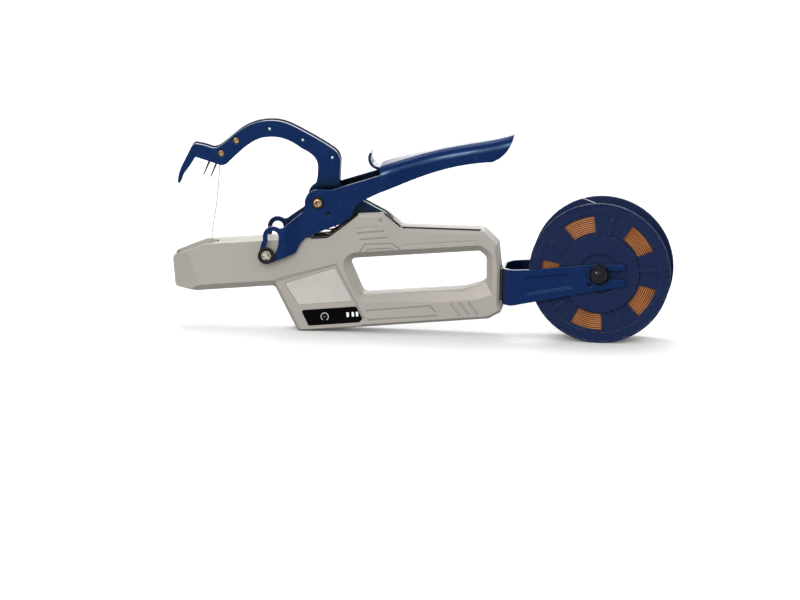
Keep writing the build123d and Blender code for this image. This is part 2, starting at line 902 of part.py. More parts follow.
def make_tie_wire():
    foot = (trough_right - 1.6, 0, tube_mouth[1] + 0.9)
    route = [foot, (-191.9, 0, 79.8), (-189.2, 0, 97.0), (-186.2, 0, 119.5), (-184.8, 0, 149.0)]
    return tube_along(route, wire_radius, 12.0)


# Hook
def hook_outline():
    tail = hook_pivot
    edges = [
        ThreePointArc((-222.0, 131.2), (-220.9, 139.8), (-218.6, 146.6)),
        Line((-218.6, 146.6), (-210.6, 163.6)),
        ThreePointArc((-210.6, 163.6), (-208.8, 166.0), (-205.8, 167.1)),
        Spline(
            (-205.8, 167.1), (-202.5, 166.7), (-195.9, 165.2), (-190.4, 163.8), (-186.5, 164.5),
            (-183.8, 166.2), (-173.6, 175.0), (-166.0, 181.4), (-157.9, 186.1), (-149.0, 189.3),
            (-138.9, 190.8), (-127.8, 189.8), (-118.1, 186.3), (-104.1, 179.4), (-90.2, 171.8),
            (-81.1, 166.1),
        ),
        ThreePointArc((-81.1, 166.1), (-76.8, 160.7), (-75.4, 155.8)),
        Polyline((-75.4, 155.8), (-76.0, 133.0), (-71.0, 127.0), (-54.6, 120.5)),
        Line((-54.6, 120.5), (tail[0] + 0.5 * hook_tail_radius, tail[1] + 0.866 * hook_tail_radius)),
        ThreePointArc(
            (tail[0] + 0.5 * hook_tail_radius, tail[1] + 0.866 * hook_tail_radius),
            (tail[0] + hook_tail_radius, tail[1]),
            (tail[0], tail[1] - hook_tail_radius),
        ),
        Polyline(
            (tail[0], tail[1] - hook_tail_radius), (-60.0, 101.0), (-77.0, spring_top), (-97.0, spring_top),
            (-102.5, 113.0), (-102.0, 124.0), (-97.3, 135.0),
        ),
        Spline(
            (-97.3, 135.0), (-95.9, 141.0), (-95.6, 147.3), (-96.1, 153.6),
            (-98.9, 158.8), (-103.8, 162.9), (-110.8, 166.5),
        ),
        Spline(
            (-110.8, 166.5), (-121.3, 172.8), (-130.3, 175.6), (-138.7, 176.0),
            (-146.9, 174.7), (-157.2, 169.4), (-168.6, 159.4), (-176.5, 151.5),
        ),
        ThreePointArc((-176.5, 151.5), (-180.0, 148.9), (-183.5, 148.4)),
        Polyline((-183.5, 148.4), (-192.3, 151.0), (-205.6, 155.0)),
        ThreePointArc((-205.6, 155.0), (-206.8, 154.4), (-207.7, 152.8)),
        Polyline((-207.7, 152.8), (-210.9, 147.4), (-215.7, 140.6), (-217.8, 136.6), (-219.7, 130.7)),
        Line((-219.7, 130.7), (-222.0, 131.2)),
    ]
    return make_face(edges)


def hook_sheet(near, far):
    plate = slab(hook_outline(), near, far)
    for place in bolt_places:
        plate -= disc(place, bolt_radius, near, far)
        plate -= disc(place, bolt_recess_radius, -hook_half, -hook_half + bolt_sink)
        plate -= disc(place, bolt_recess_radius, hook_half - bolt_sink, hook_half)
    for place in rivet_places:
        plate -= disc(place, rivet_radius, near, far)
    plate -= disc(lever_pivot, lever_bolt_radius + running_gap, near, far)
    return plate - disc(hook_pivot, hook_bush_radius, near, far)


def make_hook_spacers():
    half = hook_gap / 2
    solids = [ring(place, rivet_radius + spacer_wall, rivet_radius, -half, half) for place in rivet_places]
    bolt_hole = lever_bolt_radius + running_gap
    solids.append(ring(lever_pivot, bolt_hole + spacer_wall, bolt_hole, -half, half))
    solids.append(ring(hook_pivot, hook_bush_radius + spacer_wall, hook_bush_radius, -half, half))
    return group(solids)


def make_tine_block():
    corners = [
        (-197.0, 155.5), (-186.5, 152.4), (-179.0, 153.6), (-165.5, 166.6),
        (-169.6, 174.6), (-178.0, 168.0), (-186.0, 161.6), (-197.0, 162.0),
    ]
    half = hook_gap / 2
    solid = slab(polygon(corners), -half, half)
    for place in bolt_places:
        solid -= disc(place, bolt_radius, -half, half)
    return solid - tine_rods()


def tine_rods():
    way = Vector(tine_slope[0], 0, tine_slope[1]).normalized()
    along = (Align.CENTER, Align.CENTER, Align.MIN)
    rods = []
    for x, z in tine_tips:
        frame = Plane(origin=(x, 0, z), x_dir=(0, 1, 0), z_dir=way)
        rods.append(frame * Cone(tine_tip_radius, tine_radius, tine_length, align=along))
    return rods


def make_hook_bolts():
    solids = []
    for place in bolt_places:
        seat = hook_half - bolt_sink
        face = hook_half + bolt_proud
        bolt = disc(place, bolt_radius, -seat, face)
        head = disc(place, bolt_head_radius, -face, -seat)
        nut = slab(Pos(*place) * RegularPolygon(bolt_head_radius, 6), seat, face)
        recess = slab(Pos(*place) * RegularPolygon(bolt_radius, 6), -face, -face + 0.8)
        solids.append(bolt + head + nut - recess)
    return group(solids)


def make_hook_rivets():
    solids = []
    for place in rivet_places:
        shank = disc(place, rivet_radius, -hook_half - rivet_head_height, hook_half + rivet_head_height)
        solids.append(shank)
    return group(solids)


def make_hook_bush():
    reach = hook_half + 0.5
    return ring(hook_pivot, hook_bush_radius, hook_pin_radius + running_gap, -reach, reach)


# Lever
def guide_in_lever(turn):
    pivot = turned(lever_pivot, hook_pivot, turn)
    offset_x = guide_place[0] - pivot[0]
    offset_z = guide_place[1] - pivot[1]
    place = (lever_pivot[0] + offset_x, lever_pivot[1] + offset_z)
    return turned(place, lever_pivot, (lever_ratio - 1) * turn)


def slot_span():
    return -1.0, hook_close_angle + 2.5


def slot_face(width, ends):
    middle = (ends[0] + ends[1]) / 2
    path = ThreePointArc(guide_in_lever(ends[0]), guide_in_lever(middle), guide_in_lever(ends[1]))
    return SlotArc(path, width)


def slot_width():
    return 2 * (guide_sleeve_radius + moving_gap)


def lever_side():
    corners = [
        (-136.6, 63.4, 0.5),
        (-113.5, 72.8, 3.0),
        (-108.8, 82.4, 4.0),
        (-104.3, 87.6, 4.0),
        (-74.0, 100.4, 8.0),
        (-64.0, 107.4, 5.0),
        (-59.6, 118.4, 6.0),
        (-53.0, 123.2, 6.0),
        (-38.6, 130.4, 0.5),
        (-38.2, 146.4, 0.5),
        (-82.5, 131.4, 5.0),
        (-94.0, 131.3, 0.5),
        (-106.0, 117.0, 0.5),
        (-107.2, 110.4, 3.0),
        (-125.0, 96.0, 3.0),
        (-131.5, 95.0, 0.5),
        (-134.5, 80.0, 0.5),
    ]
    outer_cheek = [(-145.6, 73.7), (-143.6, 83.2), (-136.0, 84.0), (-138.0, 73.0)]
    side = rounded(corners) + polygon(outer_cheek)
    side += slot_face(slot_width() + 2 * slot_wall, slot_span())
    side += slot_face(slot_width() + 2 * slot_wide_wall, slot_wide_span)
    side += Pos(*lever_pivot) * Circle(lever_hump_radius)
    side -= slot_face(slot_width(), slot_span())
    return side - Pos(-84.3, 109.4) * Circle(1.8)


# The grip's folded sheet, lofted through U-shaped sections, then trimmed to its tip and lower edge.
def grip_section(x, half, top, inset):
    low = grip_under[-1][1] - 10.0
    fold = grip_fold_radius - inset
    side = half - inset
    points = [(-side, low), (-side, top - inset), (side, top - inset), (side, low)]
    frame = Plane(origin=(x, 0, 0), x_dir=(0, 1, 0), z_dir=(1, 0, 0))
    return frame * make_face(FilletPolyline(*points, radius=[0.1, fold, fold, 0.1], close=True))


def grip_loft(inset):
    arm = arm_half + lever_sheet / 2
    grip = grip_half + lever_sheet / 2
    halves = [arm, arm, grip, grip, grip, grip]
    sections = []
    for (x, top), half in zip(grip_tops, halves):
        sections.append(grip_section(x, half, top, inset))
    return loft(sections)


def grip_side():
    front = grip_tops[0][0]
    roof = grip_tip[1] + 30.0
    tip_low = grip_under[0]
    edges = [
        ThreePointArc(grip_tip, (grip_tip[0] - 4.3, grip_tip[1] - 12.2), tip_low),
        Spline(*grip_under),
        Polyline(grip_under[-1], (front, roof), (grip_tip[0], roof), grip_tip),
    ]
    return make_face(edges)


# The space inside the grip, open below and closed by the sheet at the tip.
def grip_inside():
    tip = (grip_tip[0] - lever_sheet, grip_tip[1])
    low = (grip_under[0][0] - lever_sheet, grip_under[0][1])
    roof = grip_tip[1] + 30.0
    front = grip_tops[0][0] - 20.0
    floor = grip_under[-1][1] - 20.0
    edges = [
        ThreePointArc(tip, (tip[0] - 4.3, tip[1] - 12.2), low),
        Polyline(low, (low[0], floor), (front, floor), (front, roof), (tip[0], roof), tip),
    ]
    return make_face(edges)


def lever_plan(inset):
    half = lever_sheet / 2 - inset
    left = guide_place[0] - 12.0
    right = grip_tip[0] + 20.0
    edge = [
        (left, fork_half + half),
        (fork_bend[0], fork_half + half),
        (fork_bend[1], arm_half + half),
        (grip_bend[0], arm_half + half),
        (grip_bend[1], grip_half + half),
        (right, grip_half + half),
    ]
    points = edge + [(x, -y) for x, y in reversed(edge)]
    return extrude(polygon(points), amount=220.0)


def grip_end():
    left = fork_bend[1]
    right = grip_tip[0] + 0.5
    radius = fork_half - grip_half + grip_end_radius
    outline = Pos((left + right) / 2, 0) * RectangleRounded(right - left, 2 * fork_half, radius)
    return extrude(outline, amount=220.0)


def thumb_stop():
    path = ThreePointArc((-34.0, 153.3), (-46.6, 153.6), (-48.3, 163.6))
    outer = offset(path, lever_sheet / 2, side=Side.BOTH)
    return slab(make_face(outer), -thumb_stop_half, thumb_stop_half)


def make_lever():
    span = fork_half + 10.0
    plan = lever_plan(0.0)
    inner_plan = lever_plan(lever_sheet)
    plates = (slab(lever_side(), -span, span) & plan) - inner_plan
    grip = grip_loft(0.0) & slab(grip_side(), -span, span) & grip_end()
    grip -= grip_loft(lever_sheet) & slab(grip_inside(), -span, span)
    lever = plates + grip + thumb_stop()
    dimple = disc(dimple_place, dimple_radius, lever_fork_face(), lever_fork_face() + dimple_height)
    lever += [dimple, mirrored(dimple)]
    return lever - disc(lever_pivot, lever_bolt_radius, -span, span)


def lever_fork_face():
    return fork_half + lever_sheet / 2


def lever_face():
    return arm_half + lever_sheet / 2


def make_lever_bolt():
    top = lever_face() + lever_washer
    shank = disc(lever_pivot, lever_bolt_radius, -top, top + 5.0)
    head = disc(lever_pivot, lever_head_radius, -top - lever_head_height, -top)
    recess = disc(lever_pivot, 1.7, -top - lever_head_height, -top - 0.6)
    return shank + head - recess


def make_lever_nut():
    top = lever_face() + lever_washer
    nut = slab(Pos(*lever_pivot) * RegularPolygon(5.5, 6), top, top + 4.5)
    return nut - disc(lever_pivot, lever_bolt_radius, top, top + 5)


def make_lever_washers():
    face = lever_face()
    far = ring(lever_pivot, lever_washer_radius, lever_bolt_radius, face, face + lever_washer)
    return group([mirrored(far), far])


def make_lever_sleeves():
    inner = hook_half + 0.2
    outer = arm_half - lever_sheet / 2
    far = ring(lever_pivot, sleeve_radius, lever_bolt_radius, inner, outer)
    return group([mirrored(far), far])


# Guide pin
def guide_face():
    return fork_half + lever_sheet / 2 + moving_gap


def make_guide_pin():
    reach = guide_face() + guide_washer + clip_thickness + 1.0
    return disc(guide_place, guide_pin_radius, -reach, reach)


def make_guide_sleeves():
    far = ring(guide_place, guide_sleeve_radius, guide_pin_radius, body_half, guide_face())
    return group([mirrored(far), far])


def make_guide_washers():
    face = guide_face()
    far = ring(guide_place, guide_washer_radius, guide_pin_radius, face, face + guide_washer)
    return group([mirrored(far), far])


def make_guide_clips():
    face = guide_face() + guide_washer
    mouth = Pos(0, -clip_radius) * Rectangle(2.6, 2 * clip_radius)
    shape = Circle(clip_radius) - Circle(guide_pin_radius) - mouth
    far = slab(Pos(*guide_place) * shape, face, face + clip_thickness)
    return group([mirrored(far), far])


# Return spring
def make_spring():
    height = spring_top - spring_floor - spring_wire - 2 * spring_seat
    pitch = height / spring_turns
    spring = coil(spring_radius, pitch, spring_turns, spring_wire)
    gap = coil_gap(spring_radius, pitch, spring_wire)
    print("return spring, least gap of the wire to itself", round(gap, 3))
    return Pos(spring_x, 0, spring_floor + spring_wire / 2 + spring_seat) * spring


# Reel bracket
def bracket_side():
    base = rear_x + pad_thickness
    low, high = reel_axis[1] - axle_radius - running_gap, reel_axis[1] + axle_radius + running_gap
    outline = polygon(
        [
            (base, bracket_low),
            (base + 9.0, bracket_low),
            (fork_end, low - prong_height),
            (fork_end, high + prong_height),
            (reel_axis[0] - 6.0, high + prong_height - 0.6),
            (base + 24.0, bracket_high + 1.4),
            (base, bracket_high),
        ]
    )
    slot = Pos(reel_axis[0] + 30.0, reel_axis[1]) * Rectangle(60.0, high - low)
    outline -= slot + Pos(*reel_axis) * Circle((high - low) / 2)
    return outline - Pos(*bracket_hole) * Circle(bracket_hole_radius)


def bracket_plan(inset):
    base = rear_x + pad_thickness + inset
    half = bracket_half - inset
    end = fork_end + 5.0
    points = [(end, -half), (base, -half), (base, half), (end, half)]
    radius = bracket_bend - inset
    outline = make_face(FilletPolyline(*points, radius=[0.2, radius, radius, 0.2], close=True))
    return extrude(outline, amount=120.0)


# The sunk panel pressed into each side of the bracket.
def bracket_panels():
    rim = polygon(panel_press)
    floor = offset(rim, -press_slope)
    outer = Plane.XZ.offset(bracket_half) * rim
    inner = Plane.XZ.offset(bracket_half - press_depth) * floor
    near = loft([outer, inner], ruled=True)
    return [near, mirrored(near)]


def make_bracket():
    strip = slab(bracket_side(), -bracket_half, bracket_half)
    bracket = strip & (bracket_plan(0.0) - bracket_plan(bracket_sheet))
    bracket -= bracket_panels()
    left = rear_x
    for y, z in bracket_screw_places:
        bracket -= bar(y, z, screw_radius, left, left + 20)
    return bracket - bar(0, wire_inlet_z, grommet_radius(), left, left + 20)


def grommet_radius():
    return tube_radius + 2.0


def make_grommet():
    left = rear_x + pad_thickness
    right = left + bracket_sheet
    grommet = bar(0, wire_inlet_z, grommet_radius(), left, right)
    grommet += bar(0, wire_inlet_z, grommet_radius() + 1.2, right, right + 1.0)
    grommet -= bar(0, wire_inlet_z, tube_radius, left, right)
    return grommet - bar(0, wire_inlet_z, tube_bore, right, right + 2)


def make_pad():
    left = rear_x
    pad = block(left, left + pad_thickness, -pad_half, pad_half, bracket_low + 2, bracket_high - 2)
    for y, z in bracket_screw_places:
        pad -= bar(y, z, screw_radius, left, left + pad_thickness)
    return pad - bar(0, wire_inlet_z, tube_radius, left, left + pad_thickness)


def make_bracket_screws():
    face = rear_x + pad_thickness + bracket_sheet
    solids = []
    for y, z in bracket_screw_places:
        shank = bar(y, z, screw_radius, rear_x - 8, face)
        solids.append(shank + bar(y, z, screw_head_radius, face, face + screw_head_height))
    return group(solids)


# Reel
def window_face(index):
    middle = window_start + index * 360.0 / window_count
    reach = 2 * window_outer
    half = math.radians(window_span / 2)
    far_x, far_y = reach * math.cos(half), reach * math.sin(half)
    wedge = polygon([(0, 0), (far_x, -far_y), (far_x, far_y)])
    band = Circle(window_outer) - Circle(window_inner)
    return Rot(0, 0, middle) * (band & wedge)


def make_front_flange():
    inner = -reel_inside / 2
    face = inner - flange_thickness
    outline = Circle(reel_radius) - Circle(reel_bush_radius)
    for index in range(window_count):
        outline -= window_face(index)
    flange = slab(Pos(*reel_axis) * outline, face, inner)
    flange -= ring(reel_axis, band_radius, hub_radius, face, face + band_depth)
    flange += ring(reel_axis, hub_radius, pocket_radius, face - hub_height, face)
    for index in range(window_count):
        angle = window_start + (index + 0.5) * 360.0 / window_count
        rib_start = hub_radius - 2.0
        rib_end = band_radius + 1.0
        rib_face = Rectangle(rib_end - rib_start, 2 * spoke_rib_half)
        rib = Rot(0, 0, angle) * Pos((rib_start + rib_end) / 2, 0) * rib_face
        flange += slab(Pos(*reel_axis) * rib, face, face + band_depth)
    return flange + ring(reel_axis, reel_radius, reel_radius - rim_bead, face - rim_bead_height, face)


def make_rear_flange():
    inner = reel_inside / 2
    outer = inner + flange_thickness
    flange = ring(reel_axis, reel_radius, reel_bush_radius, inner, outer)
    flange += ring(reel_axis, hub_radius, pocket_radius, outer, outer + hub_height)
    slit = Rot(0, 0, 103.0) * Pos(reel_radius - 3.0, 0) * Rot(0, 0, 57.0) * Rectangle(13.0, 0.9)
    return flange - slab(Pos(*reel_axis) * slit, inner, outer)


def make_core():
    half = reel_inside / 2
    tube = ring(reel_axis, core_radius, core_radius - core_wall, -half, half)
    web = ring(reel_axis, core_radius - core_wall, reel_bush_radius, -3.0, 3.0)
    return tube + web


def make_reel_bushes():
    half = reel_inside / 2
    outer = half + flange_thickness
    far = ring(reel_axis, reel_bush_radius, axle_radius + running_gap, outer - reel_bush_length, outer)
    far += ring(reel_axis, reel_bush_radius + 2.0, axle_radius + running_gap, outer, outer + 1.5)
    return group([mirrored(far), far])


def make_axle():
    reach = bracket_half + axle_washer() + axle_nut_height + axle_end
    axle = disc(reel_axis, axle_radius, -bracket_half, bracket_half)
    return axle + disc(reel_axis, axle_thread_radius, -reach, reach)


def axle_washer():
    return 1.2


def make_axle_washers():
    face = bracket_half
    far = ring(reel_axis, axle_washer_radius + 2.0, axle_thread_radius, face, face + axle_washer())
    return group([mirrored(far), far])


# Domed hexagon nuts, open at the end of the axle.
def make_axle_nuts():
    face = bracket_half + axle_washer()
    top = face + axle_nut_height
    crown = axle_nut_height + nut_crown
    dome_radius = (axle_nut_radius**2 + crown**2) / (2 * crown)
    ball = Pos(reel_axis[0], face + crown - dome_radius, reel_axis[1]) * Sphere(dome_radius)
    nut = ball & slab(Pos(*reel_axis) * RegularPolygon(axle_nut_radius, 6, rotation=30), face, top)
    nut -= disc(reel_axis, axle_thread_radius, face, top)
    return group([mirrored(nut), nut])


def make_wound_core():
    half = reel_inside / 2 - 0.2
    return ring(reel_axis, wound_radius, core_radius, -half, half)


def make_winding():
    radius = wound_radius + winding_wire / 2 + 0.02
    winding = coil(radius, winding_pitch, winding_turns, winding_wire)
    gap = coil_gap(radius, winding_pitch, winding_wire)
    print("winding, least gap of the wire to itself", round(gap, 3))
    width = winding_pitch * winding_turns
    return Pos(reel_axis[0], width / 2, reel_axis[1]) * Rot(90, 0, 0) * winding


def make_motor_leads():
    tail = gearbox_left + gearbox_length + motor_length
    back = -inner_half + board_gap + board_thickness + lead_radius
    start_z = drive_z - 0.6 * motor_radius
    top_z = lead_end_z + 12.0
    solids = []
    for run, y in ((2.7, -3.4), (1.2, -6.6)):
        x = tail + run
        route = [(tail, y, start_z), (x, y, start_z), (x, y, top_z), (x, back, top_z - 4.0)]
        route.append((x, back, lead_end_z))
        solids.append(tube_along(route, lead_radius, 0.9))
    return group(solids)


def make_battery_contacts():
    solids = []
    step = (cell_length + cell_gap) / 2
    frames = cell_frames()
    for frame, side in ((frames[0], 1), (frames[0], -1), (frames[1], -1)):
        solids.append(frame * Pos(0, 0, side * step) * Cylinder(contact_radius, cell_gap))
    return group(solids)


pieces = {
    "control_panel": make_panel(),
    "status_lights": make_lights(),
    "power_button": make_button(),
    "label_plate": make_label(),
    "circuit_board": make_board(),
    "battery_cells": make_cells(),
    "charge_socket": make_socket(),
    "drive_motor": make_motor(),
    "gearbox": make_gearbox(),
    "drive_shaft": make_shaft(),
    "drive_pinion": make_pinion(),
    "twister_gear": make_gear(),
    "twister_spindle": make_spindle(),
    "spindle_bushes": make_spindle_bushes(),
    "shaft_bush": make_shaft_bush(),
    "cutter_blade": make_blade(),
    "wire_guide_tube": make_tube(),
    "feed_wire": make_feed_wire(),
    "tie_wire": make_tie_wire(),
    "hook_front_plate": hook_sheet(-hook_half, -hook_gap / 2),
    "hook_rear_plate": hook_sheet(hook_gap / 2, hook_half),
    "hook_spacers": make_hook_spacers(),
    "tine_block": make_tine_block(),
    "wire_tines": group(tine_rods()),
    "hook_bolts": make_hook_bolts(),
    "hook_rivets": make_hook_rivets(),
    "hook_bush": make_hook_bush(),
    "hook_pivot_pin": disc(hook_pivot, hook_pin_radius, -hook_pin_half(), hook_pin_half()),
    "lever": make_lever(),
    "lever_bolt": make_lever_bolt(),
    "lever_nut": make_lever_nut(),
    "lever_washers": make_lever_washers(),
    "lever_sleeves": make_lever_sleeves(),
    "guide_pin": make_guide_pin(),
    "guide_sleeves": make_guide_sleeves(),
    "guide_washers": make_guide_washers(),
    "guide_clips": make_guide_clips(),
    "return_spring": make_spring(),
    "reel_bracket": make_bracket(),
    "bracket_pad": make_pad(),
    "bracket_screws": make_bracket_screws(),
    "wire_grommet": make_grommet(),
    "reel_front_flange": make_front_flange(),
    "reel_rear_flange": make_rear_flange(),
    "reel_core": make_core(),
    "reel_bushes": make_reel_bushes(),
    "reel_axle": make_axle(),
    "axle_washers": make_axle_washers(),
    "axle_nuts": make_axle_nuts(),
    "wound_core": make_wound_core(),
    "wire_winding": make_winding(),
    "shell_screws": make_screws(),
    "motor_leads": make_motor_leads(),
    "battery_contacts": make_battery_contacts(),
}
pieces["left_shell"], pieces["right_shell"] = make_shells()

os.makedirs("parts", exist_ok=True)
for name, piece in pieces.items():
    export_step(piece, f"parts/{name}.step")
print(len(pieces), "pieces")
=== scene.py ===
import math
import random
import bpy
import bmesh
from mathutils import Matrix, Quaternion, Vector


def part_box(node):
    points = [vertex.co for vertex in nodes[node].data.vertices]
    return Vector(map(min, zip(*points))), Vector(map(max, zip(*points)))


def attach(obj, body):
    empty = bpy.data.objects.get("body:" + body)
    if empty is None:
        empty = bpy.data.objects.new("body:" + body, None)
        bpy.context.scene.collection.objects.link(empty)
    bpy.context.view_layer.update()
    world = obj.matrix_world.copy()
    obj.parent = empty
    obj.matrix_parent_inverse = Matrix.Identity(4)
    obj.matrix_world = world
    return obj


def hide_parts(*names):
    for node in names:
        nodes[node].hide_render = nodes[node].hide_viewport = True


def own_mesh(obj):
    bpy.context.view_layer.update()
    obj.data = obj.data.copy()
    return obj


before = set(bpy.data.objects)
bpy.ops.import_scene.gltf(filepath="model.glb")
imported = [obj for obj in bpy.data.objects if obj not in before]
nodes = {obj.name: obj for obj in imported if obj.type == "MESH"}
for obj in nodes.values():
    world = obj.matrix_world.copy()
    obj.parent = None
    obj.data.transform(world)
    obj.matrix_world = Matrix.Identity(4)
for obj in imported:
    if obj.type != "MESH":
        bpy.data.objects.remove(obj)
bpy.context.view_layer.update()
scene = bpy.context.scene
scene.view_settings.view_transform = "Standard"
print("frame loaded,", len(nodes), "nodes")

# camera
viewSettings = {
    "target": (-0.0201, 0.0, 0.0289),
    "azimuth": 5.0,
    "elevation": 12.0,
    "distance": 18.0,
    "lens": 900.0,
    "sensor": 36.0,
    "roll": 1.0,
    "reach": 120.0,
}


def placeCamera(settings):
    turn = math.radians(settings["azimuth"])
    tilt = math.radians(settings["elevation"])
    level = math.cos(tilt)
    back = Vector((math.sin(turn) * level, -math.cos(turn) * level, math.sin(tilt)))
    data = bpy.data.cameras.new("photoCamera")
    data.lens = settings["lens"]
    data.sensor_width = settings["sensor"]
    data.clip_end = settings["reach"]
    camera = bpy.data.objects.new("photoCamera", data)
    scene.collection.objects.link(camera)
    roll = Quaternion((0, 0, 1), math.radians(settings["roll"]))
    aim = back.to_track_quat("Z", "Y") @ roll
    place = Vector(settings["target"]) + back * settings["distance"]
    camera.matrix_world = Matrix.LocRotScale(place, aim, None)
    scene.camera = camera


placeCamera(viewSettings)
print("camera placed")

# light and stage: the floor shows pale to the camera and throws little light back on the object
lightSettings = {
    "ambient": 0.78,
    "sun": {"from": (-0.06, -0.93, 0.36), "strength": 1.58, "spread": 40.0},
    "lamps": {
        "rimLamp": {"place": (0.1, 2.3, 0.95), "radius": 0.8, "power": 76.0},
        "topLamp": {"place": (-0.1, 0.4, 1.3), "radius": 0.4, "power": 28.0},
        "glossLamp": {
            "place": (-1.0, -2.15, 1.0), "radius": 0.6, "power": 600.0, "glossOnly": True,
            "tone": (1.0, 0.83, 0.68),
        },
    },
    "floorSeen": (0.97, 0.97, 0.97, 1.0),
    "floorLit": (0.14, 0.14, 0.14, 1.0),
    "floorSize": 24.0,
    "floorRough": 0.9,
}


def seenRay(tree):
    path = tree.nodes.new("ShaderNodeLightPath")
    seen = path.outputs["Is Camera Ray"]
    for ray in ("Is Glossy Ray", "Is Transmission Ray"):
        either = tree.nodes.new("ShaderNodeMath")
        either.operation = "MAXIMUM"
        tree.links.new(seen, either.inputs[0])
        tree.links.new(path.outputs[ray], either.inputs[1])
        seen = either.outputs[0]
    return seen


def lightWorld(ambient):
    world = bpy.data.worlds.new("studio")
    scene.world = world
    world.use_nodes = True
    tree = world.node_tree
    ground = tree.nodes["Background"]
    ground.inputs["Color"].default_value = (1.0, 1.0, 1.0, 1.0)
    level = tree.nodes.new("ShaderNodeMapRange")
    level.inputs["To Min"].default_value = ambient
    level.inputs["To Max"].default_value = 1.0
    tree.links.new(seenRay(tree), level.inputs["Value"])
    tree.links.new(level.outputs["Result"], ground.inputs["Strength"])


def hangSun(settings):
    data = bpy.data.lights.new("frontSun", "SUN")
    data.energy = settings["strength"]
    data.angle = math.radians(settings["spread"])
    lamp = bpy.data.objects.new("frontSun", data)
    lamp.rotation_euler = Vector(settings["from"]).to_track_quat("Z", "Y").to_euler()
    scene.collection.objects.link(lamp)


def hangLamp(name, settings):
    data = bpy.data.lights.new(name, "POINT")
    data.shadow_soft_size = settings["radius"]
    data.energy = settings["power"]
    data.color = settings.get("tone", (1.0, 1.0, 1.0))
    lamp = bpy.data.objects.new(name, data)
    lamp.location = settings["place"]
    lamp.visible_camera = False
    lamp.visible_diffuse = not settings.get("glossOnly", False)
    scene.collection.objects.link(lamp)


def asMesh(shape, name):
    mesh = bpy.data.meshes.new(name)
    shape.to_mesh(mesh)
    shape.free()
    return mesh


def layFloor(settings):
    shape = bmesh.new()
    bmesh.ops.create_grid(shape, x_segments=1, y_segments=1, size=settings["floorSize"] / 2)
    floorMesh = asMesh(shape, "studioFloor")
    floor = bpy.data.objects.new("studioFloor", floorMesh)
    scene.collection.objects.link(floor)
    paper = bpy.data.materials.new("studioPaper")
    paper.use_nodes = True
    tree = paper.node_tree
    shader = tree.nodes["Principled BSDF"]
    tone = tree.nodes.new("ShaderNodeMix")
    tone.data_type = "RGBA"
    tone.inputs[6].default_value = settings["floorLit"]
    tone.inputs[7].default_value = settings["floorSeen"]
    tree.links.new(seenRay(tree), tone.inputs["Factor"])
    tree.links.new(tone.outputs[2], shader.inputs["Base Color"])
    shader.inputs["Roughness"].default_value = settings["floorRough"]
    shader.inputs["Specular IOR Level"].default_value = 0.0
    floorMesh.materials.append(paper)


lightWorld(lightSettings["ambient"])
hangSun(lightSettings["sun"])
for lampName, lampSettings in lightSettings["lamps"].items():
    hangLamp(lampName, lampSettings)
layFloor(lightSettings)
print("stage lit")


# what all finishes share: the detail of each noise, and from where to where it counts
finishSettings = {
    "edgeSamples": 6,
    "driftDetail": 3.0,
    "driftRange": (0.3, 0.7),
    "glossScale": 3.1,
    "glossDetail": 4.0,
    "bendRange": (0.97, 0.8),
    "patchScale": 9.0,
    "patchDetail": 5.0,
    "patchRange": (0.42, 0.6),
    "hollowSamples": 8,
    "hollowRange": (0.25, 0.8),
    "grainDetail": 2.0,
}


